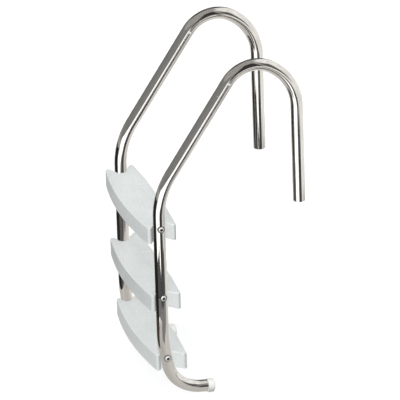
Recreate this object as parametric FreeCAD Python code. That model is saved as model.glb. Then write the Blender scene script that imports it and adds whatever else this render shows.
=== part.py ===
import FreeCAD, Part
import math
import os

from FreeCAD import Vector

# Pool ladder, millimetres.
# X is across the ladder, +Y points from the water to the deck, +Z is up.
# The origin lies midway between the lower ends of the two deck legs.
# Each rail is two bent stainless tubes, joined by a riveted spigot. Three moulded treads
# hang between the rails on socket screws, and a bumper plugs the foot of each rail.

# ------------------------------------------------------------------ driving dimensions

RAIL_SPACING = 488.0            # between the rails' centrelines
TUBE_RADIUS = 24.15
TUBE_WALL = 1.65

# A rail's bends, in order from the deck leg's lower end to the foot. They all turn one way.
DECK_LEG_LENGTH = 415.0
WIDE_BEND_RADIUS = 226.0        # the top bend's half on the deck side
WIDE_BEND_ANGLE = 58.0
TIGHT_BEND_RADIUS = 130.0       # the top bend's half on the pool side
OBLIQUE_TILT = 34.0             # of the oblique run from the vertical
OBLIQUE_LENGTH = 437.0
KNEE_RADIUS = 314.0
TREAD_LEG_LENGTH = 515.0
KICK_RADIUS = 576.0
KICK_ANGLE = 10.0               # the leg's lower end leans towards the wall
KICK_LENGTH = 43.0
FOOT_BEND_RADIUS = 151.0
FOOT_DROP_ANGLE = 6.0           # of the foot below the level
FOOT_LENGTH = 27.0

# The joint of each rail, on the oblique run just below the top bend. The spigot's clearance
# lets its end reach a little way into the bend.
HANDRAIL_RUN = 64.0             # of the oblique run that belongs to the handrail
SEAM_GAP = 0.4
SPIGOT_LENGTH = 73.0
SPIGOT_CLEARANCE = 0.4
SHOULDER_LENGTH = 3.0
RIVET_TO_SEAM = 65.0
RIVET_RADIUS = 3.2
RIVET_HEAD_RADIUS = 5.0
RIVET_HEAD_HEIGHT = 2.0
HOLE_CLEARANCE = 0.15
CUTTER_OVERRUN = 1.0            # how far a cutting shape runs on past the face it cuts

# The treads, from the top one down. Drops are from the knee's corner to the walking face.
TREAD_NAMES = ["top", "middle", "bottom"]
TREAD_DROPS = [122.0, 427.0, 698.0]
TREAD_SETBACKS = [-7.0, 2.0, 9.0]  # of each moulding towards the wall
TREAD_HEIGHT = 69.0
FRONT_TIP_X = 287.0
FRONT_TIP_Y = -45.0
FRONT_BOW = 30.0
BACK_TIP_X = 291.0
BACK_TIP_Y = 66.0
BACK_FLAT_X = 108.0             # half the straight middle of the back edge
BACK_FLAT_Y = 78.0
FRONT_TIP_ROUND = 9.0
BACK_TIP_ROUND = 9.0
BACK_CORNER_REACH = 28.0        # the back's shallow corners are arcs this far each way
TOP_EDGE_ROUND = 3.0
RIM_WIDTH = 10.0                # the smooth rim around the non-slip field
FIELD_DEPTH = 0.6               # of the non-slip field below the rim
SKIN = 5.0                      # wall and walking-face thickness
SADDLE_CLEARANCE = 0.25
SADDLE_WRAP = 3.0               # how far the saddle reaches past the tube's middle
SCOOP_FRONT_Y = -2.0            # the heel scoop starts here and deepens to the back edge
SCOOP_DEPTH = 4.0
BOSS_START_X = 193.0
BOSS_HALF_WIDTH = 31.0
RIB_THICKNESS = 3.0
RIB_HEIGHT = 48.0
RIB_XS = [-146.0, -73.0, 0.0, 73.0, 146.0]
SPINE_Y = 4.0

# The tread fasteners, one at each end of each tread.
SCREW_DROP = 16.5               # of the screw's axis below the walking face
SCREW_RADIUS = 4.75
SCREW_TIP_X = 195.0
SCREW_TIP_ROOM = 3.0            # between the screw's tip and its hole's blind end
SCREW_CROWN_ROUND = 3.0
SCREW_HEAD_RADIUS = 9.8
SCREW_HEAD_HEIGHT = 5.0
SOCKET_FLATS = 9.0
SOCKET_DEPTH = 4.2
WASHER_RADIUS = 15.0
WASHER_RISE = 2.4               # of the washer's flat face beyond the tube
WASHER_CUP_RADIUS = 11.8
WASHER_CUP_DEPTH = 1.2
WASHER_EDGE_ROUND = 1.0
WASHER_SEAT_CLEARANCE = 0.05
HEAD_SEAT_ROOM = 0.3            # around the screw's head in the cup
NUT_FLATS = 14.3
NUT_THICKNESS = 8.2
NUT_START_X = 200.0
NUT_SLOT_CLEARANCE = 0.3
THREAD_CLEARANCE = 0.05

# The bumpers at the feet.
BUMPER_RADIUS = 27.0
BUMPER_LENGTH = 27.0
BUMPER_ROUND = 5.0
BUMPER_PLUG_RADIUS = 21.9
BUMPER_PLUG_LENGTH = 32.0
BUMPER_RIB_COUNT = 4
BUMPER_RIB_RADIUS = 22.35
BUMPER_RIB_LENGTH = 2.5
BUMPER_FIRST_RIB = 2.0          # from the plug's inner end

NEAR = 0.01                     # two places closer than this are the same place

# ------------------------------------------------------------------------ tube paths


def direction(heading):
    """Unit vector in the YZ plane: heading 0 points up and 90 points to the pool."""
    angle = math.radians(heading)
    return Vector(0, -math.sin(angle), math.cos(angle))


class Path:
    """A bent tube's centreline in the YZ plane, walked run by run and bend by bend."""

    def __init__(self, point, heading):
        self.point = point
        self.heading = heading
        self.edges = []

    def run(self, length):
        end = self.point + direction(self.heading) * length
        self.edges.append(Part.LineSegment(self.point, end).toShape())
        self.point = end

    def bend(self, radius, angle):
        centre = self.point + direction(self.heading + 90) * radius
        middle = centre - direction(self.heading + 90 + angle / 2) * radius
        end = centre - direction(self.heading + 90 + angle) * radius
        self.edges.append(Part.Arc(self.point, middle, end).toShape())
        self.point = end
        self.heading += angle


def sweep(edges, start, heading, radius):
    """A round bar along the path."""
    circle = Part.Circle(start, direction(heading), radius).toShape()
    return Part.Wire(edges).makePipeShell([Part.Wire([circle])], True, False)


def tube(edges, start, heading, outer, inner):
    return sweep(edges, start, heading, outer).cut(sweep(edges, start, heading, inner))


def bar(start, axis, radius, length):
    return Part.makeCylinder(radius, length, start, axis)


def knee_tangent():
    return KNEE_RADIUS * math.tan(math.radians(OBLIQUE_TILT / 2))


def handrail_path():
    path = Path(Vector(0, 0, 0), 0)
    path.run(DECK_LEG_LENGTH)
    path.bend(WIDE_BEND_RADIUS, WIDE_BEND_ANGLE)
    path.bend(TIGHT_BEND_RADIUS, 180 - OBLIQUE_TILT - WIDE_BEND_ANGLE)
    path.run(HANDRAIL_RUN)
    return path


def lower_rail_path(seam, heading):
    path = Path(seam, heading)
    path.run(OBLIQUE_LENGTH - HANDRAIL_RUN)
    path.bend(KNEE_RADIUS, OBLIQUE_TILT)
    path.run(TREAD_LEG_LENGTH)
    path.bend(KICK_RADIUS, KICK_ANGLE)
    path.run(KICK_LENGTH)
    path.bend(FOOT_BEND_RADIUS, 90 - KICK_ANGLE - FOOT_DROP_ANGLE)
    path.run(FOOT_LENGTH)
    return path


HANDRAIL = handrail_path()
SEAM = HANDRAIL.point
OBLIQUE_HEADING = HANDRAIL.heading
OBLIQUE = direction(OBLIQUE_HEADING)
LOWER_RAIL = lower_rail_path(SEAM, OBLIQUE_HEADING)
FOOT_END = LOWER_RAIL.point
FOOT_AXIS = direction(LOWER_RAIL.heading)

# The knee's corner is where the oblique run's line meets the tread leg's line.
KNEE_CORNER = SEAM + OBLIQUE * (OBLIQUE_LENGTH - HANDRAIL_RUN + knee_tangent())
RIVET_POINT = SEAM - OBLIQUE * RIVET_TO_SEAM
TREAD_TOPS = [KNEE_CORNER.z - drop for drop in TREAD_DROPS]
KICK_START_Z = KNEE_CORNER.z - knee_tangent() - TREAD_LEG_LENGTH


def leg_y(z):
    """Where the tread leg's centreline is at height z, down into the kick."""
    below = KICK_START_Z - z
    if below <= 0:
        return KNEE_CORNER.y
    return KNEE_CORNER.y + KICK_RADIUS - math.sqrt(KICK_RADIUS ** 2 - below ** 2)


def on_side(shape, side):
    """Move a shape modelled on the middle plane to the left (-1) or right (+1) rail."""
    placed = shape.copy()
    placed.translate(Vector(side * RAIL_SPACING / 2, 0, 0))
    return placed


# ----------------------------------------------------------------------------- rails


def rivet_hole(radius):
    reach = TUBE_RADIUS + 2 * TUBE_WALL
    return bar(RIVET_POINT - Vector(reach, 0, 0), Vector(1, 0, 0), radius, 2 * reach)


def handrail():
    shape = tube(HANDRAIL.edges, Vector(0, 0, 0), 0, TUBE_RADIUS, TUBE_RADIUS - TUBE_WALL)
    return shape.cut(rivet_hole(RIVET_RADIUS + HOLE_CLEARANCE))


def lower_rail():
    """The tube of the treads, with the swaged spigot that enters the handrail."""
    inside = TUBE_RADIUS - TUBE_WALL
    spigot_outer = inside - SPIGOT_CLEARANCE
    spigot_inner = spigot_outer - TUBE_WALL
    shape = tube(LOWER_RAIL.edges, SEAM, OBLIQUE_HEADING, TUBE_RADIUS, inside)
    gap = bar(SEAM - OBLIQUE * SEAM_GAP, OBLIQUE, TUBE_RADIUS + CUTTER_OVERRUN, 2 * SEAM_GAP)
    shoulder_start = SEAM + OBLIQUE * SEAM_GAP
    shoulder = bar(shoulder_start, OBLIQUE, TUBE_RADIUS, SHOULDER_LENGTH)
    neck_length = SPIGOT_LENGTH + SEAM_GAP + SHOULDER_LENGTH
    neck = bar(SEAM - OBLIQUE * SPIGOT_LENGTH, OBLIQUE, spigot_outer, neck_length)
    bore = bar(SEAM - OBLIQUE * SPIGOT_LENGTH, OBLIQUE, spigot_inner, neck_length)
    shape = shape.cut(gap).fuse([shoulder, neck]).cut(bore)
    shape = shape.cut(rivet_hole(RIVET_RADIUS + HOLE_CLEARANCE))
    hole_reach = TUBE_RADIUS + CUTTER_OVERRUN
    for top in TREAD_TOPS:
        hole = screw_bar(top - SCREW_DROP, 0, SCREW_RADIUS + HOLE_CLEARANCE, hole_reach)
        shape = shape.cut(hole)
    return shape


def screw_bar(z, x, radius, reach):
    """A bar along the tread screw's axis, reaching both ways from x."""
    return bar(Vector(x - reach, leg_y(z), z), Vector(1, 0, 0), radius, 2 * reach)


def dome(base, axis, radius, height):
    """A shallow domed head: the cap of a large ball."""
    ball_radius = (radius ** 2 + height ** 2) / (2 * height)
    ball = Part.makeSphere(ball_radius, base - axis * (ball_radius - height))
    return ball.common(bar(base, axis, radius, height + CUTTER_OVERRUN))


def joint_rivet():
    half = TUBE_RADIUS
    across = Vector(1, 0, 0)
    shape = bar(RIVET_POINT - across * half, across, RIVET_RADIUS, 2 * half)
    for side in (-1, 1):
        base = RIVET_POINT + across * (side * half)
        shape = shape.fuse(dome(base, across * side, RIVET_HEAD_RADIUS, RIVET_HEAD_HEIGHT))
    return shape


def bumper():
    """A ribbed plug in the tube's mouth with a round-nosed head outside it."""
    head = bar(FOOT_END, FOOT_AXIS, BUMPER_RADIUS, BUMPER_LENGTH)
    nose = FOOT_END + FOOT_AXIS * BUMPER_LENGTH
    rims = [edge for edge in head.Edges if edge.Curve.TypeId == "Part::GeomCircle"]
    nose_rim = min(rims, key=lambda edge: (edge.Curve.Center - nose).Length)
    head = head.makeFillet(BUMPER_ROUND, [nose_rim])
    plug_start = FOOT_END - FOOT_AXIS * BUMPER_PLUG_LENGTH
    shape = head.fuse(bar(plug_start, FOOT_AXIS, BUMPER_PLUG_RADIUS, BUMPER_PLUG_LENGTH))
    rib_pitch = BUMPER_PLUG_LENGTH / BUMPER_RIB_COUNT
    for index in range(BUMPER_RIB_COUNT):
        rib_start = plug_start + FOOT_AXIS * (BUMPER_FIRST_RIB + index * rib_pitch)
        shape = shape.fuse(bar(rib_start, FOOT_AXIS, BUMPER_RIB_RADIUS, BUMPER_RIB_LENGTH))
    return shape


# ---------------------------------------------------------------------------- treads


def corner_arc(before, corner, after, reach):
    """An arc in place of a corner, tangent to both sides at this reach from it."""
    back = (before - corner).normalize()
    onward = (after - corner).normalize()
    half = back.getAngle(onward) / 2
    radius = reach * math.tan(half)
    middle = corner + (back + onward).normalize() * (radius / math.sin(half) - radius)
    return Part.Arc(corner + back * reach, middle, corner + onward * reach).toShape()


def tread_outline(tube_y, y0, z):
    """The tread's plan as a closed wire: bowed front, horned ends, three-part back."""
    saddle_radius = TUBE_RADIUS + SADDLE_CLEARANCE
    mouth_x = RAIL_SPACING / 2 + SADDLE_WRAP
    mouth_half = math.sqrt(saddle_radius ** 2 - SADDLE_WRAP ** 2)

    def at(x, y):
        return Vector(x, y, z)

    front_left = at(-FRONT_TIP_X, y0 + FRONT_TIP_Y)
    front_middle = at(0, y0 + FRONT_TIP_Y - FRONT_BOW)
    front_right = at(FRONT_TIP_X, y0 + FRONT_TIP_Y)
    back_right_tip = at(BACK_TIP_X, y0 + BACK_TIP_Y)
    back_right = at(BACK_FLAT_X, y0 + BACK_FLAT_Y)
    back_left = at(-BACK_FLAT_X, y0 + BACK_FLAT_Y)
    back_left_tip = at(-BACK_TIP_X, y0 + BACK_TIP_Y)
    arcs = [
        corner_arc(back_right_tip, back_right, back_left, BACK_CORNER_REACH),
        corner_arc(back_right, back_left, back_left_tip, BACK_CORNER_REACH),
    ]
    arc_ends = [[vertex.Point for vertex in arc.Vertexes] for arc in arcs]
    straights = [
        (front_right, at(mouth_x, tube_y - mouth_half)),
        (at(mouth_x, tube_y - mouth_half), at(mouth_x, tube_y + mouth_half)),
        (at(mouth_x, tube_y + mouth_half), back_right_tip),
        (back_right_tip, arc_ends[0][0]),
        (arc_ends[0][1], arc_ends[1][0]),
        (arc_ends[1][1], back_left_tip),
        (back_left_tip, at(-mouth_x, tube_y + mouth_half)),
        (at(-mouth_x, tube_y + mouth_half), at(-mouth_x, tube_y - mouth_half)),
        (at(-mouth_x, tube_y - mouth_half), front_left),
    ]
    edges = [Part.Arc(front_left, front_middle, front_right).toShape()] + arcs
    edges += [Part.LineSegment(first, last).toShape() for first, last in straights]
    return Part.Wire(Part.__sortEdges__(edges))


def same(first, second):
    return abs(first - second) < NEAR


def upright_edges(shape, x, y):
    """The upright edges of a prism that stand at (+-x, y)."""
    found = []
    for edge in shape.Edges:
        first, last = edge.Vertexes[0].Point, edge.Vertexes[-1].Point
        upright = same(first.x, last.x) and same(first.y, last.y)
        if upright and same(abs(first.x), x) and same(first.y, y):
            found.append(edge)
    return found


def flat_round_edges(shape, x):
    """The edges that lie in the plane at this x."""
    return [edge for edge in shape.Edges if same(edge.BoundBox.XMin, x)]


def block(x_low, x_high, y_low, y_high, z_low, z_high):
    size = (x_high - x_low, y_high - y_low, z_high - z_low)
    return Part.makeBox(size[0], size[1], size[2], Vector(x_low, y_low, z_low))


def tread_ribs(y0, z_top):
    """Cross ribs and one spine under the walking face."""
    z_low = z_top - RIB_HEIGHT
    y_low = y0 + FRONT_TIP_Y - FRONT_BOW
    y_high = y0 + BACK_FLAT_Y
    ribs = []
    for x in RIB_XS:
        ribs.append(block(x - RIB_THICKNESS / 2, x + RIB_THICKNESS / 2, y_low, y_high, z_low, z_top))
    spine_low = y0 + SPINE_Y - RIB_THICKNESS / 2
    spine_high = y0 + SPINE_Y + RIB_THICKNESS / 2
    ribs.append(block(-BOSS_START_X, BOSS_START_X, spine_low, spine_high, z_low, z_top))
    return ribs


def heel_scoop(y0, z_top):
    """A wedge off the middle of the walking face, deepest at the back edge."""
    front_y = y0 + SCOOP_FRONT_Y
    back_y = y0 + BACK_FLAT_Y + CUTTER_OVERRUN
    section = Part.makePolygon([
        Vector(-BACK_FLAT_X, front_y, z_top),
        Vector(-BACK_FLAT_X, back_y, z_top - SCOOP_DEPTH),
        Vector(-BACK_FLAT_X, back_y, z_top + CUTTER_OVERRUN),
        Vector(-BACK_FLAT_X, front_y, z_top + CUTTER_OVERRUN),
        Vector(-BACK_FLAT_X, front_y, z_top),
    ])
    return Part.Face(section).extrude(Vector(2 * BACK_FLAT_X, 0, 0))


def tread_field(outline):
    """The shallow recess of the non-slip field, all but the rim of the walking face."""
    field = outline.makeOffset2D(-RIM_WIDTH)
    field.translate(Vector(0, 0, TREAD_HEIGHT - FIELD_DEPTH))
    return Part.Face(field).extrude(Vector(0, 0, FIELD_DEPTH + CUTTER_OVERRUN))


def nut_slot(side, tube_y, z_top):
    """The slot that a nut slides up into from below."""
    half = NUT_FLATS / 2 + NUT_SLOT_CLEARANCE
    near = NUT_START_X - NUT_SLOT_CLEARANCE
    far = NUT_START_X + NUT_THICKNESS + NUT_SLOT_CLEARANCE
    x_low, x_high = sorted((side * near, side * far))
    z_high = z_top - SCREW_DROP + corner_reach(2 * half)
    return block(x_low, x_high, tube_y - half, tube_y + half, z_top - TREAD_HEIGHT, z_high)


def tread(index):
    """One moulded tread: a ribbed shell, open below, with a saddle and a boss at each end."""
    z_top = TREAD_TOPS[index]
    screw_z = z_top - SCREW_DROP
    z_low = z_top - TREAD_HEIGHT
    tube_y = leg_y(screw_z)
    y0 = tube_y + TREAD_SETBACKS[index]
    outline = tread_outline(tube_y, y0, z_low)
    body = Part.Face(outline).extrude(Vector(0, 0, TREAD_HEIGHT))
    body = body.makeFillet(FRONT_TIP_ROUND, upright_edges(body, FRONT_TIP_X, y0 + FRONT_TIP_Y))
    body = body.makeFillet(BACK_TIP_ROUND, upright_edges(body, BACK_TIP_X, y0 + BACK_TIP_Y))
    bottom = min(body.Faces, key=lambda face: face.CenterOfMass.z)
    inner_wire = bottom.OuterWire.makeOffset2D(-SKIN)
    hollow = Part.Face(inner_wire).extrude(Vector(0, 0, TREAD_HEIGHT - SKIN - SCOOP_DEPTH))
    top = max(body.Faces, key=lambda face: face.CenterOfMass.z)
    body = body.makeFillet(TOP_EDGE_ROUND, top.OuterWire.Edges)

    blocked = tread_ribs(y0, z_top)
    for side in (-1, 1):
        x_low, x_high = sorted((side * BOSS_START_X, side * BACK_TIP_X))
        y_low, y_high = tube_y - BOSS_HALF_WIDTH, tube_y + BOSS_HALF_WIDTH
        blocked.append(block(x_low, x_high, y_low, y_high, z_low, z_top))
    hollow = hollow.cut(blocked)

    cuts = [hollow, tread_field(outline), heel_scoop(y0, z_top - FIELD_DEPTH)]
    clearance_bar = sweep(LOWER_RAIL.edges, SEAM, OBLIQUE_HEADING, TUBE_RADIUS + SADDLE_CLEARANCE)
    hole_reach = RAIL_SPACING / 2 - SCREW_TIP_X + SCREW_TIP_ROOM
    for side in (-1, 1):
        rail_x = side * RAIL_SPACING / 2
        cuts.append(on_side(clearance_bar, side))
        cuts.append(nut_slot(side, tube_y, z_top))
        cuts.append(screw_bar(screw_z, rail_x, SCREW_RADIUS + HOLE_CLEARANCE, hole_reach))
    return body.cut(cuts)


# ------------------------------------------------------------------- tread fasteners


def corner_reach(flats):
    """From a hexagon's middle to its corners."""
    return flats / 2 / math.cos(math.radians(30))


def hexagon_bar(x, y, z, flats, length):
    """A hexagonal bar along +X, point up."""
    reach = corner_reach(flats)
    points = []
    for corner in range(7):
        angle = math.radians(90 + 60 * corner)
        points.append(Vector(x, y + reach * math.cos(angle), z + reach * math.sin(angle)))
    return Part.Face(Part.makePolygon(points)).extrude(Vector(length, 0, 0))


def washer_face_x():
    return RAIL_SPACING / 2 + TUBE_RADIUS + WASHER_RISE


def saddle_washer(z):
    """A round washer whose back is hollowed to the tube and whose face is a shallow cup."""
    y = leg_y(z)
    across = Vector(1, 0, 0)
    back_x = RAIL_SPACING / 2 + TUBE_RADIUS / 2
    shape = bar(Vector(back_x, y, z), across, WASHER_RADIUS, washer_face_x() - back_x)
    shape = shape.makeFillet(WASHER_EDGE_ROUND, flat_round_edges(shape, washer_face_x()))
    seat_radius = TUBE_RADIUS + WASHER_SEAT_CLEARANCE
    tube_bar = sweep(LOWER_RAIL.edges, SEAM, OBLIQUE_HEADING, seat_radius)
    cup_start = Vector(washer_face_x() - WASHER_CUP_DEPTH, y, z)
    cup_bottom = SCREW_HEAD_RADIUS + HEAD_SEAT_ROOM
    cup = Part.makeCone(cup_bottom, WASHER_CUP_RADIUS, WASHER_CUP_DEPTH, cup_start, across)
    hole = screw_bar(z, washer_face_x(), SCREW_RADIUS + HOLE_CLEARANCE, TUBE_RADIUS)
    return shape.cut([on_side(tube_bar, 1), cup, hole])


def tread_screw(z):
    """A button-headed socket screw from outside the rail into the tread's nut."""
    y = leg_y(z)
    across = Vector(1, 0, 0)
    seat_x = washer_face_x() - WASHER_CUP_DEPTH
    shank = bar(Vector(SCREW_TIP_X, y, z), across, SCREW_RADIUS, seat_x - SCREW_TIP_X)
    head = bar(Vector(seat_x, y, z), across, SCREW_HEAD_RADIUS, SCREW_HEAD_HEIGHT)
    crown_x = seat_x + SCREW_HEAD_HEIGHT
    head = head.makeFillet(SCREW_CROWN_ROUND, flat_round_edges(head, crown_x))
    socket_length = SOCKET_DEPTH + CUTTER_OVERRUN
    socket = hexagon_bar(crown_x - SOCKET_DEPTH, y, z, SOCKET_FLATS, socket_length)
    return shank.fuse(head).cut(socket)


def tread_nut(z):
    shape = hexagon_bar(NUT_START_X, leg_y(z), z, NUT_FLATS, NUT_THICKNESS)
    return shape.cut(screw_bar(z, NUT_START_X, SCREW_RADIUS + THREAD_CLEARANCE, 2 * NUT_THICKNESS))


def mirrored(shape):
    return shape.mirror(Vector(0, 0, 0), Vector(1, 0, 0))


# ---------------------------------------------------------------------------- export


def export(name, shape):
    """Write one node after checking that it is closed and valid."""
    solid = shape.removeSplitter()
    if not solid.isValid() or not solid.Solids:
        raise RuntimeError(name + " is not a valid solid")
    solid.exportStep("parts/" + name + ".step")
    box = solid.BoundBox
    print("%-22s solids %d  volume %9.0f  y %7.1f %7.1f  z %7.1f %7.1f" % (
        name, len(solid.Solids), solid.Volume, box.YMin, box.YMax, box.ZMin, box.ZMax))


def main():
    os.makedirs("parts", exist_ok=True)
    rail_parts = {
        "handrail": handrail(),
        "lower_rail": lower_rail(),
        "joint_rivet": joint_rivet(),
        "bumper": bumper(),
    }
    for name, shape in rail_parts.items():
        export(name + "_left", on_side(shape, -1))
        export(name + "_right", on_side(shape, 1))
    for index, tread_name in enumerate(TREAD_NAMES):
        export("tread_" + tread_name, tread(index))
        screw_z = TREAD_TOPS[index] - SCREW_DROP
        fasteners = {
            "saddle_washer": saddle_washer(screw_z),
            "tread_screw": tread_screw(screw_z),
            "tread_nut": tread_nut(screw_z),
        }
        for name, shape in fasteners.items():
            export(name + "_" + tread_name + "_right", shape)
            export(name + "_" + tread_name + "_left", mirrored(shape))


main()
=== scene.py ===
import math

import bpy
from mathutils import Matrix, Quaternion, Vector


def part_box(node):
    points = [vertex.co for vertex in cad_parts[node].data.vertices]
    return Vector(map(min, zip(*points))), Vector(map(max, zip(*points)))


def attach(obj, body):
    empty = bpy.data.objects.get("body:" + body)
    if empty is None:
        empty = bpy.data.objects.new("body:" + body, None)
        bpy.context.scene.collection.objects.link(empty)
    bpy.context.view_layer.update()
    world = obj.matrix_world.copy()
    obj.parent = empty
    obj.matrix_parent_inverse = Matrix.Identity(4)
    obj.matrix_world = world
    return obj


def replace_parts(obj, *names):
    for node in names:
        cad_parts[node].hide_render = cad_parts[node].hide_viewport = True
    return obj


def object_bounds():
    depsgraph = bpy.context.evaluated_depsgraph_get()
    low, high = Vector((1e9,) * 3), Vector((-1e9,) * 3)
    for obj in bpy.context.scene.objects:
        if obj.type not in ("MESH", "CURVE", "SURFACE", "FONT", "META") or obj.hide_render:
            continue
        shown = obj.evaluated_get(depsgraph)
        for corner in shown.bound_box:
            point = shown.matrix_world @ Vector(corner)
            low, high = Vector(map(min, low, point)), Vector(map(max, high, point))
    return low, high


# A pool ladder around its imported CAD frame. Metres; X is across the ladder, +Y points from
# the water to the deck, +Z is up. The rails are swept again as fine meshes in place of the
# CAD tubes, and each tread gets the raised pips of its non-slip face.

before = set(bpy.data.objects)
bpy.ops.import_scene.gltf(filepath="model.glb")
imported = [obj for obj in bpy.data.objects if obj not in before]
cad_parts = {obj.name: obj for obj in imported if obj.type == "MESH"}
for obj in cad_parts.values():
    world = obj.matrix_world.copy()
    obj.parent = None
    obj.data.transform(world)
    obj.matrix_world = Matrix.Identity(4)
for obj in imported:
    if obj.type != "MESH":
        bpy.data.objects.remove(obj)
CAD_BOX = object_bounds()

# ------------------------------------------------------------------ driving dimensions

MM = 0.001

# The rails, as in the CAD source.
RAIL_SPACING = 488 * MM
TUBE_RADIUS = 24.15 * MM
TUBE_WALL = 1.65 * MM
DECK_LEG_LENGTH = 415 * MM
WIDE_BEND_RADIUS = 226 * MM
WIDE_BEND_ANGLE = 58
TIGHT_BEND_RADIUS = 130 * MM
OBLIQUE_TILT = 34
OBLIQUE_LENGTH = 437 * MM
HANDRAIL_RUN = 64 * MM
KNEE_RADIUS = 314 * MM
TREAD_LEG_LENGTH = 515 * MM
KICK_RADIUS = 576 * MM
KICK_ANGLE = 10
KICK_LENGTH = 43 * MM
FOOT_BEND_RADIUS = 151 * MM
FOOT_DROP_ANGLE = 6
FOOT_LENGTH = 27 * MM
SEAM_GAP = 0.4 * MM
SPIGOT_LENGTH = 73 * MM
SPIGOT_CLEARANCE = 0.4 * MM
SHOULDER_LENGTH = 3 * MM

# How finely the tubes are swept, and the deburred edge at their cut ends.
TUBE_SIDES = 96
RUN_STEP = 25 * MM
BEND_STEP = 1.5                 # degrees
LIP = 0.5 * MM
SHARP_ANGLE = 35                # degrees; a steeper edge is shaded sharp

# The treads, as in the CAD source. A place on a tread is measured from its own middle line.
TREAD_NAMES = ["top", "middle", "bottom"]
TREAD_SETBACKS = [-7 * MM, 2 * MM, 9 * MM]
FRONT_TIP = Vector((287 * MM, -45 * MM))
FRONT_BOW = 30 * MM
BACK_TIP = Vector((291 * MM, 66 * MM))
BACK_FLAT = Vector((108 * MM, 78 * MM))
SADDLE_WRAP = 3 * MM
SADDLE_RADIUS = TUBE_RADIUS + 0.25 * MM
RIM_WIDTH = 10 * MM
FIELD_DEPTH = 0.6 * MM
SCOOP_FRONT_Y = -2 * MM
SCOOP_DEPTH = 4 * MM
SCOOP_OVERRUN = 1 * MM          # its slope runs on this far past the back edge
SCOOP_LENGTH = BACK_FLAT.y + SCOOP_OVERRUN - SCOOP_FRONT_Y

# The pips of the non-slip face.
PIP_PITCH = 6.4 * MM
PIP_RADIUS = 2.0 * MM
PIP_HEIGHT = 0.5 * MM
PIP_SIDES = 10
PIP_SHOULDERS = [(0.8, 0.55), (0.45, 0.9)]   # shares of its radius and of its height
PIP_SINK = 0.1 * MM             # its foot is this far inside the face
PIP_MARGIN = 1.2 * MM
FAR_OUTSIDE = -1                # metres; the gap given to a place past the tube

# Painted shade in a screw's socket, which also covers a narrow ring round it: its reach from the
# axis and its soft edge, as shares of the head's width, and its colour.
SOCKET_EDGE = 0.315
SOCKET_BLUR = 0.015
SOCKET_PAINTED_SHADE = (0.02, 0.02, 0.02)

# The lit cards' brightness drifts by this share, over patches of about 1 m.
GLOW_DRIFT = 0.28
GLOW_DRIFT_SCALE = 0.9

# How far the satin heads of the screws and rivets take after bare metal, from 0 to 1.
SATIN = 0.2

# The camera: a long lens, slightly rolled.
CAMERA_TARGET = Vector((0, -0.3322, -0.0574))
CAMERA_AZIMUTH = 72.43
CAMERA_ELEVATION = 27.43
CAMERA_ROLL = -1.81
CAMERA_DISTANCE = 38.4
CAMERA_LENS = 873.7
CAMERA_NEAR = 0.1
CAMERA_FAR = 1000

# The steels. The rail's colour wanders between two near shades.
RAIL_COLOR = (0.72, 0.705, 0.68)
RAIL_DARK = (0.70, 0.685, 0.66)
RAIL_LIGHT = (0.755, 0.74, 0.715)
RAIL_ROUGHNESS = 0.12
HEAD_COLOR = (0.95, 0.94, 0.92)
SCREW_ROUGHNESS = 0.42
RIVET_ROUGHNESS = 0.40
WASHER_COLOR = (0.42, 0.41, 0.40)
WASHER_ROUGHNESS = 0.22
NUT_COLOR = (0.58, 0.57, 0.55)
NUT_ROUGHNESS = 0.35
MACHINING_GRAIN = (300, 2500, 2500)   # cycles per metre along X, Y and Z
DARK_PATCH_SHARE = 0.88

# The white plastics: light and shaded colour, roughness, and cycles per metre of the speckle
# and of the finer grain.
TREAD_PLASTIC = ((0.77, 0.80, 0.795), (0.64, 0.67, 0.675), 0.46, 160, 1400)
STIPPLE_PLASTIC = ((0.90, 0.93, 0.925), (0.52, 0.55, 0.555), 0.5, 210, 1400)
BUMPER_PLASTIC = ((0.84, 0.84, 0.82), (0.80, 0.80, 0.785), 0.40, 90, 1800)

# The part of a noise's span that the shading uses, by default.
NOISE_LOW = 0.3
NOISE_HIGH = 0.7

# The studio's round wall of cards, seen only in reflections.
STUDIO_CENTRE = Vector((0, -0.3, 0))
WALL_RADIUS = 9.0
CARD_STEP = 5                   # degrees between a card's corners
CARD_SPACING = 0.15             # each later card stands this much nearer

# Each card: name, azimuths, elevations, colour and brightness. Later cards cover earlier ones.
CARDS = [
    ("room_wall", (-180, 180), (-89.9, 89.9), (1.0, 0.985, 0.93), 0.42),
    ("dark_behind", (-150, -62), (-10, 50), (1.0, 0.97, 0.92), 0.08),
    ("pale_side", (132, 235), (-60, 70), (1.0, 0.985, 0.96), 1.02),
    ("pale_low", (98, 180), (-27, -6), (1.0, 0.985, 0.96), 1.02),
    ("outer_floor", (60, 180), (-60, -26), (1.0, 0.975, 0.94), 0.85),
    ("dark_horizon", (-60, 8), (-60, -7), (1.0, 0.92, 0.86), 0.025),
    ("brown_edge", (8, 20), (-60, -7), (1.0, 0.90, 0.84), 0.20),
    ("grey_band", (-60, 75), (2, 26), (1.0, 0.99, 0.96), 0.25),
    ("bright_window", (20, 90), (-50, 3), (1.0, 1.0, 1.0), 1.7),
    ("dark_flag_right", (80, 112), (-8, 58), (1.0, 0.97, 0.92), 0.05),
    ("slate_low_right", (80, 130), (-32, -23), (0.95, 0.98, 1.0), 0.09),
    ("dark_line", (89, 104), (-29.5, -14), (0.97, 0.98, 1.0), 0.05),
    ("dark_flag_far", (116, 140), (-6, 34), (1.0, 0.97, 0.94), 0.14),
]

# The air's light: its level, how it grows towards one way, and its least value.
AIR_LEVEL = 0.22
AIR_LEAN = (0.075, 0.0, 0.15)
AIR_LEAST = 0.05
AIR_COLOR = (0.98, 1.0, 0.99, 1)

# The two soft suns that light the plastics: name, azimuth, elevation, strength and spread.
SUNS = [
    ("overhead_softbox", 65, 70, 1.9, 40),
    ("side_softbox", 44, 15, 1.8, 40),
]

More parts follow.
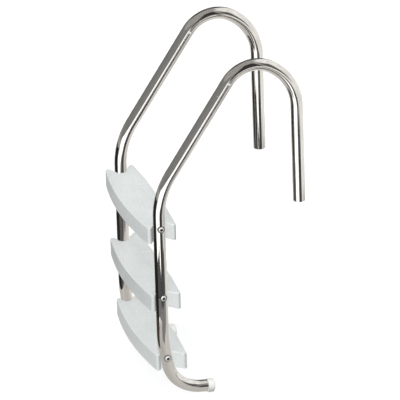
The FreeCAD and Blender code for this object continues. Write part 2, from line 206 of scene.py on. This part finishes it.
# Flat sheets near the ladder, seen only in reflections: name, corners, colour and brightness.
# The floor sheets give X and Y, and the upright screens in front give X and Z.
SHEET_RISE = 2 * MM             # each later sheet or screen stands this much further on
SHEET_Z = -0.80
FLOOR_SHEETS = [
    ("warm_floor", [(-2.5, -1.22), (0.9, -1.22), (0.9, 1.6), (-2.5, 1.6)],
     (1.0, 0.965, 0.92), 0.74),
    ("slate_mat", [(1.0, -1.05), (1.35, -1.2), (1.4, 0.0), (1.2, 0.35), (0.95, 0.6),
     (0.72, 0.25), (0.98, -0.08), (1.1, -0.5)], (0.96, 0.98, 1.0), 0.09),
    ("pale_mat", [(0.75, -0.80), (1.05, -0.95), (1.1, -0.5), (0.98, -0.08), (0.72, 0.25),
     (0.62, 0.1), (0.78, -0.3)], (1.0, 0.97, 0.95), 0.28),
]
SCREEN_Y = -0.70
SCREENS = [
    ("grey_screen_near", [(0.2, -0.23), (0.283, -0.226), (0.313, -0.203), (0.452, -0.196),
     (0.5, -0.2), (0.5, -0.465), (0.452, -0.44), (0.313, -0.38), (0.2, -0.38)],
     (0.98, 0.98, 1.0), 0.11),
    ("pale_screen_near", [(0.2, -0.38), (0.313, -0.38), (0.452, -0.44), (0.5, -0.465),
     (0.5, -0.555), (0.452, -0.53), (0.313, -0.46), (0.2, -0.46)], (1.0, 0.98, 0.97), 0.24),
    ("grey_screen_far", [(-0.21, -0.16), (0.04, -0.18), (0.04, -0.60), (-0.21, -0.58)],
     (1.0, 0.97, 0.93), 0.13),
    ("black_screen_near", [(0.02, -0.12), (0.285, -0.12), (0.285, -0.46), (0.02, -0.46)],
     (1.0, 0.9, 0.8), 0.02),
    ("brown_screen_near", [(0.02, -0.46), (0.285, -0.46), (0.262, -0.61), (0.02, -0.61)],
     (1.0, 0.80, 0.62), 0.07),
    ("black_screen_far", [(-0.6, -0.12), (-0.205, -0.12), (-0.205, -0.58), (-0.6, -0.58)],
     (1.0, 0.9, 0.8), 0.025),
]

# The pale floor: a disc whose own faint light brings it up to white.
FLOOR_GAP = 1 * MM
FLOOR_RADIUS = 400.0
FLOOR_SIDES = 128
FLOOR_COLOR = (0.95, 0.95, 0.95)
FLOOR_ROUGHNESS = 0.9
FLOOR_GLOW = 0.12

# ------------------------------------------------------------------------- mesh pieces


def new_piece(name, points, faces, material):
    """A smooth mesh that rides on the ladder's only body."""
    mesh = bpy.data.meshes.new(name)
    mesh.from_pydata(points, [], faces)
    mesh.validate()
    mesh.shade_smooth()
    mesh.set_sharp_from_angle(angle=math.radians(SHARP_ANGLE))
    mesh.materials.append(material)
    piece = bpy.data.objects.new(name, mesh)
    bpy.context.scene.collection.objects.link(piece)
    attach(piece, "root")
    return piece


def direction(heading):
    """Unit vector in the YZ plane: heading 0 points up and 90 points to the pool."""
    angle = math.radians(heading)
    return Vector((0, -math.sin(angle), math.cos(angle)))


class Route:
    """A centreline in the YZ plane, kept as stations of (point, heading, distance)."""

    def __init__(self, point, heading, distance=0.0):
        self.point = point
        self.heading = heading
        self.distance = distance
        self.stations = [(point.copy(), heading, distance)]

    def run(self, length):
        """Go straight on."""
        steps = max(1, math.ceil(length / RUN_STEP))
        for _ in range(steps):
            self.point = self.point + direction(self.heading) * (length / steps)
            self.distance += length / steps
            self.stations.append((self.point, self.heading, self.distance))

    def bend(self, radius, angle):
        """Turn towards the pool along a round bend."""
        centre = self.point + direction(self.heading + 90) * radius
        steps = math.ceil(angle / BEND_STEP)
        start = self.heading
        for step in range(1, steps + 1):
            self.heading = start + angle * step / steps
            self.point = centre - direction(self.heading + 90) * radius
            self.distance += math.radians(angle / steps) * radius
            self.stations.append((self.point, self.heading, self.distance))


def handrail_route():
    """From a deck leg's cut end over the top bend to the seam."""
    route = Route(Vector((0, 0, 0)), 0)
    route.run(DECK_LEG_LENGTH)
    route.bend(WIDE_BEND_RADIUS, WIDE_BEND_ANGLE)
    route.bend(TIGHT_BEND_RADIUS, 180 - OBLIQUE_TILT - WIDE_BEND_ANGLE)
    route.run(HANDRAIL_RUN)
    return route


def lower_rail_route(seam, heading):
    """From the seam past the knee and the treads to the foot."""
    route = Route(seam, heading)
    route.run(OBLIQUE_LENGTH - HANDRAIL_RUN)
    route.bend(KNEE_RADIUS, OBLIQUE_TILT)
    route.run(TREAD_LEG_LENGTH)
    route.bend(KICK_RADIUS, KICK_ANGLE)
    route.run(KICK_LENGTH)
    route.bend(FOOT_BEND_RADIUS, 90 - KICK_ANGLE - FOOT_DROP_ANGLE)
    route.run(FOOT_LENGTH)
    return route


def shifted(station, offset):
    """The station moved along its own heading."""
    point, heading, distance = station
    return point + direction(heading) * offset, heading, distance + offset


def skin(stations, radius):
    """Rings of one radius along the stations."""
    return [(station, radius) for station in stations]


def lipped(stations, radius, inward):
    """Rings of one radius, rounded towards the wall's middle at both ends."""
    first, last = stations[0], stations[-1]
    quarter = LIP * (1 - math.sqrt(0.5))
    start = [(first, radius - inward * LIP), (shifted(first, quarter), radius - inward * quarter)]
    end = [(shifted(last, -quarter), radius - inward * quarter), (last, radius - inward * LIP)]
    middle = [shifted(first, LIP), shifted(first, 2 * LIP)] + stations[1:-1]
    middle += [shifted(last, -2 * LIP), shifted(last, -LIP)]
    return start + skin(middle, radius) + end


def swept_shell(name, side, rings, material):
    """A closed shell through the rings: out along the tube's outside and back through its bore."""
    points = []
    coordinates = []
    for (point, heading, distance), radius in rings:
        centre = point + Vector((side * RAIL_SPACING / 2, 0, 0))
        outward = direction(heading + 90)
        for step in range(TUBE_SIDES):
            angle = 2 * math.pi * step / TUBE_SIDES
            reach = Vector((math.cos(angle), 0, 0)) + outward * math.sin(angle)
            points.append(centre + reach * radius)
        coordinates.append(distance)
    faces = []
    count = len(rings)
    for ring in range(count):
        following = (ring + 1) % count
        for step in range(TUBE_SIDES):
            beside = (step + 1) % TUBE_SIDES
            faces.append((
                ring * TUBE_SIDES + step,
                ring * TUBE_SIDES + beside,
                following * TUBE_SIDES + beside,
                following * TUBE_SIDES + step,
            ))
    piece = new_piece(name, points, faces, material)
    unwrap = piece.data.uv_layers.new(name="UVMap")
    for polygon in piece.data.polygons:
        ring, step = divmod(polygon.index, TUBE_SIDES)
        around = [step, step + 1, step + 1, step]
        along = [ring, ring, (ring + 1) % count, (ring + 1) % count]
        for corner, loop in enumerate(polygon.loop_indices):
            u = 2 * math.pi * TUBE_RADIUS * around[corner] / TUBE_SIDES
            unwrap.data[loop].uv = (u, coordinates[along[corner]])
    return piece


def handrail(side, route, material):
    """One upper tube, open at both ends."""
    outside = lipped(route.stations, TUBE_RADIUS, 1)
    inside = lipped(route.stations, TUBE_RADIUS - TUBE_WALL, -1)
    return swept_shell(side_name("handrail", side), side, outside + inside[::-1], material)


def lower_rail(side, route, material):
    """The tube of the treads, with the reduced spigot that enters the handrail."""
    seam = route.stations[0]
    bore = TUBE_RADIUS - TUBE_WALL
    spigot = [shifted(seam, -SPIGOT_LENGTH), shifted(seam, SEAM_GAP)]
    step = shifted(seam, SHOULDER_LENGTH)
    body = [shifted(seam, SEAM_GAP)] + route.stations[1:]
    outside = skin(spigot, bore - SPIGOT_CLEARANCE) + lipped(body, TUBE_RADIUS, 1)
    inside = skin([spigot[0], step], bore - SPIGOT_CLEARANCE - TUBE_WALL)
    inside += skin([step] + route.stations[1:], bore)
    return swept_shell(side_name("lower_rail", side), side, outside + inside[::-1], material)


def side_name(name, side):
    """The name of the left piece for side -1, or of the right one for side 1."""
    return name + ("_left" if side < 0 else "_right")


# ---------------------------------------------------------------------------- treads


def line_gap(point, first, last):
    """How far the point is to the left of the line from first to last."""
    along = (last - first).normalized()
    return along.x * (point.y - first.y) - along.y * (point.x - first.x)


def field_gap(x, y, setback):
    """How far (x, y) is inside the tread's outline, by its nearest edge."""
    point = Vector((abs(x), y))
    mouth_half = math.sqrt(SADDLE_RADIUS ** 2 - SADDLE_WRAP ** 2)
    mouth_x = RAIL_SPACING / 2 + SADDLE_WRAP
    front_mouth = Vector((mouth_x, -mouth_half - setback))
    back_mouth = Vector((mouth_x, mouth_half - setback))
    tube = Vector((RAIL_SPACING / 2, -setback))
    bow_radius = (FRONT_TIP.x ** 2 + FRONT_BOW ** 2) / (2 * FRONT_BOW)
    bow_centre = Vector((0, FRONT_TIP.y - FRONT_BOW + bow_radius))
    gaps = [
        bow_radius - (point - bow_centre).length,
        line_gap(point, BACK_TIP, BACK_FLAT),
        BACK_FLAT.y - point.y,
        (point - tube).length - SADDLE_RADIUS,
    ]
    if point.x > mouth_x - RIM_WIDTH:
        if point.y < tube.y:
            gaps.append(line_gap(point, FRONT_TIP, front_mouth))
        else:
            gaps.append(line_gap(point, back_mouth, BACK_TIP))
        if abs(point.y - tube.y) < mouth_half and point.x > mouth_x:
            gaps.append(FAR_OUTSIDE)
    return min(gaps)


def field_height(x, y):
    """The non-slip face's height at (x, y), measured from the tread's rim."""
    if abs(x) < BACK_FLAT.x and y > SCOOP_FRONT_Y:
        return -FIELD_DEPTH - SCOOP_DEPTH * (y - SCOOP_FRONT_Y) / SCOOP_LENGTH
    return -FIELD_DEPTH


def pip(points, faces, centre, rise):
    """Add one low dome, whose height leans with the face by rise per metre along Y."""
    base = len(points)
    rings = [(1.0, -PIP_SINK)]
    rings += [(width, height * PIP_HEIGHT) for width, height in PIP_SHOULDERS]
    for share, height in rings:
        for step in range(PIP_SIDES):
            angle = 2 * math.pi * step / PIP_SIDES
            x = share * PIP_RADIUS * math.cos(angle)
            y = share * PIP_RADIUS * math.sin(angle)
            points.append(centre + Vector((x, y, height + rise * y)))
    points.append(centre + Vector((0, 0, PIP_HEIGHT)))
    crown = len(points) - 1
    for step in range(PIP_SIDES):
        beside = (step + 1) % PIP_SIDES
        for ring in range(len(rings) - 1):
            low = base + ring * PIP_SIDES
            high = low + PIP_SIDES
            faces.append((low + step, low + beside, high + beside, high + step))
        top = base + (len(rings) - 1) * PIP_SIDES
        faces.append((top + step, top + beside, crown))
    faces.append(tuple(base + step for step in reversed(range(PIP_SIDES))))


def tread_grip(index, tube_y, material):
    """The pips of one tread's non-slip face, in staggered rows."""
    node = "tread_" + TREAD_NAMES[index]
    setback = TREAD_SETBACKS[index]
    rim_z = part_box(node)[1].z
    row_pitch = PIP_PITCH * math.sin(math.radians(60))
    rows = math.ceil(2 * BACK_FLAT.y / row_pitch)
    columns = math.ceil(BACK_TIP.x / PIP_PITCH)
    clear = RIM_WIDTH + PIP_RADIUS + PIP_MARGIN
    scoop_slope = -SCOOP_DEPTH / SCOOP_LENGTH
    points, faces = [], []
    for row in range(-rows, rows + 1):
        y = row * row_pitch
        for column in range(-columns, columns + 1):
            x = (column + (row % 2) / 2) * PIP_PITCH
            if field_gap(x, y, setback) < clear:
                continue
            in_scoop = abs(x) < BACK_FLAT.x and y > SCOOP_FRONT_Y
            near_step = abs(abs(x) - BACK_FLAT.x) < PIP_RADIUS + PIP_MARGIN
            if near_step and y > SCOOP_FRONT_Y - PIP_MARGIN:
                continue
            centre = Vector((x, tube_y + setback + y, rim_z + field_height(x, y)))
            pip(points, faces, centre, scoop_slope if in_scoop else 0)
    return new_piece(node + "_grip", points, faces, material)


# -------------------------------------------------------------------------- materials


class Nodes:
    """One procedural material, with short calls for the nodes it is made of."""

    def __init__(self, name, base_color, roughness, metallic=0.0):
        self.material = bpy.data.materials.new(name)
        self.material.use_nodes = True
        self.tree = self.material.node_tree
        self.shader = self.tree.nodes["Principled BSDF"]
        self.shader.inputs["Base Color"].default_value = (*base_color, 1)
        self.shader.inputs["Roughness"].default_value = roughness
        self.shader.inputs["Metallic"].default_value = metallic

    def add(self, kind, inputs=None, **settings):
        """A new node. An input is either a constant or the socket that feeds it."""
        node = self.tree.nodes.new("ShaderNode" + kind)
        for key, value in settings.items():
            setattr(node, key, value)
        for key, value in (inputs or {}).items():
            if isinstance(value, bpy.types.NodeSocket):
                self.tree.links.new(value, node.inputs[key])
            else:
                node.inputs[key].default_value = value
        return node

    def noise(self, vector, scale, detail=3.0, roughness=0.5):
        node = self.add("TexNoise", {
            "Vector": vector, "Scale": scale, "Detail": detail, "Roughness": roughness})
        return node.outputs["Fac"]

    def stretched(self, vector, scale):
        return self.add("Mapping", {"Vector": vector, "Scale": scale}).outputs["Vector"]

    def place(self):
        return self.add("TexCoord").outputs["Object"]

    def unwrapped(self):
        return self.add("UVMap").outputs["UV"]

    def ramp(self, value, low, high, from_low=NOISE_LOW, from_high=NOISE_HIGH):
        node = self.add("MapRange", {
            "Value": value, "From Min": from_low, "From Max": from_high,
            "To Min": low, "To Max": high})
        return node.outputs["Result"]

    def blend(self, value, first, second):
        inputs = {"Factor": value, "A": (*first, 1), "B": (*second, 1)}
        return self.add("Mix", inputs, data_type="RGBA").outputs["Result"]

    def total(self, first, second, operation="ADD"):
        return self.add("Math", {0: first, 1: second}, operation=operation).outputs[0]

    def drive(self, name, value):
        self.tree.links.new(value, self.shader.inputs[name])

    def bump(self, height, distance, strength=1.0, normal=None):
        inputs = {"Height": height, "Distance": distance, "Strength": strength}
        if normal is not None:
            inputs["Normal"] = normal
        return self.add("Bump", inputs).outputs["Normal"]


def rail_steel():
    """Polished stainless tube: long faint polishing lines, with a slightly uneven gloss."""
    nodes = Nodes("polished_rail_steel", RAIL_COLOR, RAIL_ROUGHNESS, metallic=1.0)
    place = nodes.place()
    around_and_along = nodes.stretched(nodes.unwrapped(), (1600, 14, 1))
    lines = nodes.noise(around_and_along, scale=1.0, detail=2.0)
    patches = nodes.noise(place, scale=14.0, detail=3.0)
    haze = nodes.noise(place, scale=3.0, detail=2.0)
    line_gloss = nodes.ramp(lines, low=0.0, high=0.02)
    haze_gloss = nodes.ramp(haze, low=0.05, high=0.08)
    nodes.drive("Base Color", nodes.blend(nodes.ramp(patches, 0, 1), RAIL_DARK, RAIL_LIGHT))
    nodes.drive("Roughness", nodes.total(line_gloss, haze_gloss))
    waves = nodes.bump(patches, distance=0.03 * MM, strength=0.2)
    nodes.drive("Normal", nodes.bump(lines, distance=0.002 * MM, strength=0.3, normal=waves))
    return nodes.material


def machine(nodes, roughness):
    """Give a steel its fine machining grain."""
    grain = nodes.noise(nodes.stretched(nodes.place(), MACHINING_GRAIN), scale=1.0, detail=2.0)
    nodes.drive("Roughness", nodes.ramp(grain, low=roughness - 0.04, high=roughness + 0.06))
    nodes.drive("Normal", nodes.bump(grain, distance=0.01 * MM, strength=0.4))


def fastener_steel(name, base_color, roughness, metallic=1.0):
    """Machined stainless, with a fine grain and slightly darker patches."""
    nodes = Nodes(name, base_color, roughness, metallic)
    patches = nodes.noise(nodes.place(), scale=120.0, detail=3.0)
    dark = tuple(DARK_PATCH_SHARE * channel for channel in base_color)
    nodes.drive("Base Color", nodes.blend(nodes.ramp(patches, 0, 1), dark, base_color))
    machine(nodes, roughness)
    return nodes.material


def socket_screw_steel(name, base_color, roughness, metallic):
    """Machined stainless with painted shade, nearly black, in and just round the socket on the screw's
    axis (X).
    """
    nodes = Nodes(name, base_color, roughness, metallic)
    across = nodes.stretched(nodes.add("TexCoord").outputs["Generated"], (0, 1, 1))
    reach = nodes.add("VectorMath", {0: across, 1: (0, 0.5, 0.5)}, operation="DISTANCE")
    edge = nodes.ramp(reach.outputs["Value"], 0, 1, SOCKET_EDGE - SOCKET_BLUR, SOCKET_EDGE + SOCKET_BLUR)
    # Painted shade: the socket and a narrow ring round it are coloured nearly black.
    nodes.drive("Base Color", nodes.blend(edge, SOCKET_PAINTED_SHADE, base_color))
    machine(nodes, roughness)
    return nodes.material


def moulded_plastic(name, light, shade, roughness, speckle_scale, grain_scale):
    """White moulded plastic: a fine matt grain over faint, broad colour clouds."""
    nodes = Nodes(name, light, roughness)
    place = nodes.place()
    clouds = nodes.noise(place, scale=9.0, detail=4.0)
    flow = nodes.noise(nodes.stretched(place, (6, 30, 30)), scale=1.0, detail=3.0)
    speckle = nodes.noise(place, speckle_scale, detail=2.0, roughness=0.6)
    grain = nodes.noise(place, grain_scale, detail=2.0)
    mottled = nodes.total(clouds, flow, "MULTIPLY")
    broad_shade = nodes.ramp(mottled, low=0.25, high=0, from_low=0.12, from_high=0.42)
    fine_shade = nodes.ramp(speckle, low=0.5, high=0, from_low=0.38, from_high=0.62)
    nodes.drive("Base Color", nodes.blend(nodes.total(broad_shade, fine_shade), light, shade))
    nodes.drive("Roughness", nodes.ramp(grain, low=roughness - 0.05, high=roughness + 0.07))
    broad = nodes.bump(clouds, distance=0.2 * MM, strength=0.2)
    dimpled = nodes.bump(speckle, distance=0.25 * MM, strength=0.5, normal=broad)
    nodes.drive("Normal", nodes.bump(grain, distance=0.06 * MM, strength=0.35, normal=dimpled))
    return nodes.material


# ----------------------------------------------------------------------------- studio


def wall_direction(azimuth, elevation):
    """Unit vector of a place on the studio's walls. Azimuth 0 faces -Y and 90 faces +X."""
    a, e = math.radians(azimuth), math.radians(elevation)
    return Vector((math.sin(a) * math.cos(e), -math.cos(a) * math.cos(e), math.sin(e)))


def glow(name, color, strength):
    """A lit card whose brightness drifts a little from place to place."""
    material = bpy.data.materials.new(name)
    material.use_nodes = True
    tree = material.node_tree
    tree.nodes.clear()
    place = tree.nodes.new("ShaderNodeTexCoord")
    drift = tree.nodes.new("ShaderNodeTexNoise")
    drift.inputs["Scale"].default_value = GLOW_DRIFT_SCALE
    level = tree.nodes.new("ShaderNodeMapRange")
    level.inputs["From Min"].default_value = NOISE_LOW
    level.inputs["From Max"].default_value = NOISE_HIGH
    level.inputs["To Min"].default_value = strength * (1 - GLOW_DRIFT)
    level.inputs["To Max"].default_value = strength * (1 + GLOW_DRIFT)
    emission = tree.nodes.new("ShaderNodeEmission")
    emission.inputs["Color"].default_value = (*color, 1)
    output = tree.nodes.new("ShaderNodeOutputMaterial")
    tree.links.new(place.outputs["Object"], drift.inputs["Vector"])
    tree.links.new(drift.outputs["Fac"], level.inputs["Value"])
    tree.links.new(level.outputs["Result"], emission.inputs["Strength"])
    tree.links.new(emission.outputs[0], output.inputs["Surface"])
    return material


def reflected_only(thing):
    """Seen in reflections, but not by the camera. It gives no soft light and no shadow."""
    thing.visible_camera = False
    thing.visible_diffuse = False
    thing.visible_transmission = False
    thing.visible_volume_scatter = False
    thing.visible_shadow = False


def studio_card(name, azimuths, elevations, radius, material):
    """A curved card on the studio's wall, between two azimuths and two elevations."""
    columns = max(2, round((azimuths[1] - azimuths[0]) / CARD_STEP))
    rows = max(2, round((elevations[1] - elevations[0]) / CARD_STEP))
    points, faces = [], []
    for row in range(rows + 1):
        elevation = elevations[0] + (elevations[1] - elevations[0]) * row / rows
        for column in range(columns + 1):
            azimuth = azimuths[0] + (azimuths[1] - azimuths[0]) * column / columns
            points.append(STUDIO_CENTRE + wall_direction(azimuth, elevation) * radius)
    for row in range(rows):
        for column in range(columns):
            corner = row * (columns + 1) + column
            faces.append((corner, corner + 1, corner + columns + 2, corner + columns + 1))
    mesh = bpy.data.meshes.new(name)
    mesh.from_pydata(points, [], faces)
    mesh.materials.append(material)
    card = bpy.data.objects.new(name, mesh)
    bpy.context.scene.collection.objects.link(card)
    reflected_only(card)


def flat_sheet(name, points, color, strength):
    """A flat sheet near the ladder, seen only in reflections."""
    mesh = bpy.data.meshes.new(name)
    mesh.from_pydata(points, [], [tuple(range(len(points)))])
    mesh.materials.append(glow(name + "_glow", color, strength))
    sheet = bpy.data.objects.new(name, mesh)
    bpy.context.scene.collection.objects.link(sheet)
    reflected_only(sheet)


def build_studio():
    """All that reflections show, apart from the ladder itself."""
    for order, (name, corners, color, strength) in enumerate(FLOOR_SHEETS):
        level = SHEET_Z + order * SHEET_RISE
        flat_sheet(name, [(x, y, level) for x, y in corners], color, strength)
    for order, (name, corners, color, strength) in enumerate(SCREENS):
        depth = SCREEN_Y + order * SHEET_RISE
        flat_sheet(name, [(x, depth, z) for x, z in corners], color, strength)
    for order, (name, azimuths, elevations, color, strength) in enumerate(CARDS):
        radius = WALL_RADIUS - order * CARD_SPACING
        studio_card(name, azimuths, elevations, radius, glow(name + "_glow", color, strength))


def pale_floor():
    """A wide pale disc just under the ladder's lowest point."""
    low = CAD_BOX[0].z - FLOOR_GAP
    points = [Vector((0, 0, low))]
    for step in range(FLOOR_SIDES):
        angle = 2 * math.pi * step / FLOOR_SIDES
        reach = Vector((FLOOR_RADIUS * math.cos(angle), FLOOR_RADIUS * math.sin(angle), 0))
        points.append(points[0] + reach)
    faces = [(0, step + 1, (step + 1) % FLOOR_SIDES + 1) for step in range(FLOOR_SIDES)]
    mesh = bpy.data.meshes.new("floor")
    mesh.from_pydata(points, [], faces)
    nodes = Nodes("pale_floor", FLOOR_COLOR, FLOOR_ROUGHNESS)
    nodes.shader.inputs["Specular IOR Level"].default_value = 0.0
    nodes.shader.inputs["Emission Color"].default_value = (1, 1, 1, 1)
    nodes.shader.inputs["Emission Strength"].default_value = FLOOR_GLOW
    mesh.materials.append(nodes.material)
    floor = bpy.data.objects.new("floor", mesh)
    floor.visible_glossy = False
    floor.visible_diffuse = False
    bpy.context.scene.collection.objects.link(floor)


def soft_sun(name, azimuth, elevation, strength, spread):
    """A wide sun without shadows, left out of reflections."""
    light = bpy.data.lights.new(name, "SUN")
    light.energy = strength
    light.angle = math.radians(spread)
    light.use_shadow = False
    lamp = bpy.data.objects.new(name, light)
    lamp.rotation_mode = "QUATERNION"
    lamp.rotation_quaternion = (-wall_direction(azimuth, elevation)).to_track_quat("-Z", "Y")
    lamp.visible_glossy = False
    bpy.context.scene.collection.objects.link(lamp)


def studio_air():
    """Soft light from all round, as the plastics see it, brightest from above the near side."""
    world = bpy.data.worlds.new("studio_air")
    world.use_nodes = True
    tree = world.node_tree
    way = tree.nodes.new("ShaderNodeTexCoord")
    lean = tree.nodes.new("ShaderNodeVectorMath")
    lean.operation = "DOT_PRODUCT"
    lean.inputs[1].default_value = AIR_LEAN
    level = tree.nodes.new("ShaderNodeMath")
    level.operation = "ADD"
    level.inputs[1].default_value = AIR_LEVEL
    least = tree.nodes.new("ShaderNodeMath")
    least.operation = "MAXIMUM"
    least.inputs[1].default_value = AIR_LEAST
    background = tree.nodes["Background"]
    background.inputs["Color"].default_value = AIR_COLOR
    tree.links.new(way.outputs["Generated"], lean.inputs[0])
    tree.links.new(lean.outputs["Value"], level.inputs[0])
    tree.links.new(level.outputs[0], least.inputs[0])
    tree.links.new(least.outputs[0], background.inputs["Strength"])
    bpy.context.scene.world = world


def build_lights():
    """The light of the air and the two suns, shown without a film curve."""
    studio_air()
    for sun in SUNS:
        soft_sun(*sun)
    bpy.context.scene.view_settings.view_transform = "Standard"


def build_camera():
    """The camera, which looks back along its azimuth and elevation."""
    camera_data = bpy.data.cameras.new("camera")
    camera_data.lens = CAMERA_LENS
    camera_data.clip_start = CAMERA_NEAR
    camera_data.clip_end = CAMERA_FAR
    camera = bpy.data.objects.new("camera", camera_data)
    back = wall_direction(CAMERA_AZIMUTH, CAMERA_ELEVATION)
    camera.location = CAMERA_TARGET + back * CAMERA_DISTANCE
    level = (-back).to_track_quat("-Z", "Y")
    camera.rotation_mode = "QUATERNION"
    camera.rotation_quaternion = Quaternion(back, math.radians(CAMERA_ROLL)) @ level
    bpy.context.scene.collection.objects.link(camera)
    bpy.context.scene.camera = camera


# -------------------------------------------------------------------------- assembly


def dress(node, material):
    """Give a CAD node that stays in view its material."""
    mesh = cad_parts[node].data
    mesh.materials.clear()
    mesh.materials.append(material)


def build_ladder():
    """Sweep the rails, dress the CAD pieces and lay the treads' pips."""
    steel = rail_steel()
    screw_steel = socket_screw_steel("machined_screw_steel_painted_socket_shade", HEAD_COLOR, SCREW_ROUGHNESS, SATIN)
    rivet_steel = fastener_steel("machined_rivet_steel", HEAD_COLOR, RIVET_ROUGHNESS, SATIN)
    washer_steel = fastener_steel("machined_washer_steel", WASHER_COLOR, WASHER_ROUGHNESS)
    nut_steel = fastener_steel("plain_nut_steel", NUT_COLOR, NUT_ROUGHNESS)
    white = moulded_plastic("tread_plastic", *TREAD_PLASTIC)
    stipple = moulded_plastic("tread_stipple", *STIPPLE_PLASTIC)
    cap = moulded_plastic("bumper_plastic", *BUMPER_PLASTIC)

    upper = handrail_route()
    lower = lower_rail_route(upper.point, upper.heading)
    for side in (-1, 1):
        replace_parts(handrail(side, upper, steel), side_name("handrail", side))
        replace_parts(lower_rail(side, lower, steel), side_name("lower_rail", side))
        dress(side_name("joint_rivet", side), rivet_steel)
        dress(side_name("bumper", side), cap)
        for tread in TREAD_NAMES:
            dress(side_name("saddle_washer_" + tread, side), washer_steel)
            dress(side_name("tread_screw_" + tread, side), screw_steel)
            dress(side_name("tread_nut_" + tread, side), nut_steel)
    for index, tread in enumerate(TREAD_NAMES):
        dress("tread_" + tread, white)
        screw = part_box("tread_screw_" + tread + "_right")
        grip = tread_grip(index, (screw[0].y + screw[1].y) / 2, stipple)
        # The steel's bands stay unbroken: neither the treads nor their pips are reflected in it.
        for plastic in (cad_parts["tread_" + tread], grip):
            plastic.visible_glossy = False


build_ladder()
build_studio()
pale_floor()
build_lights()
build_camera()
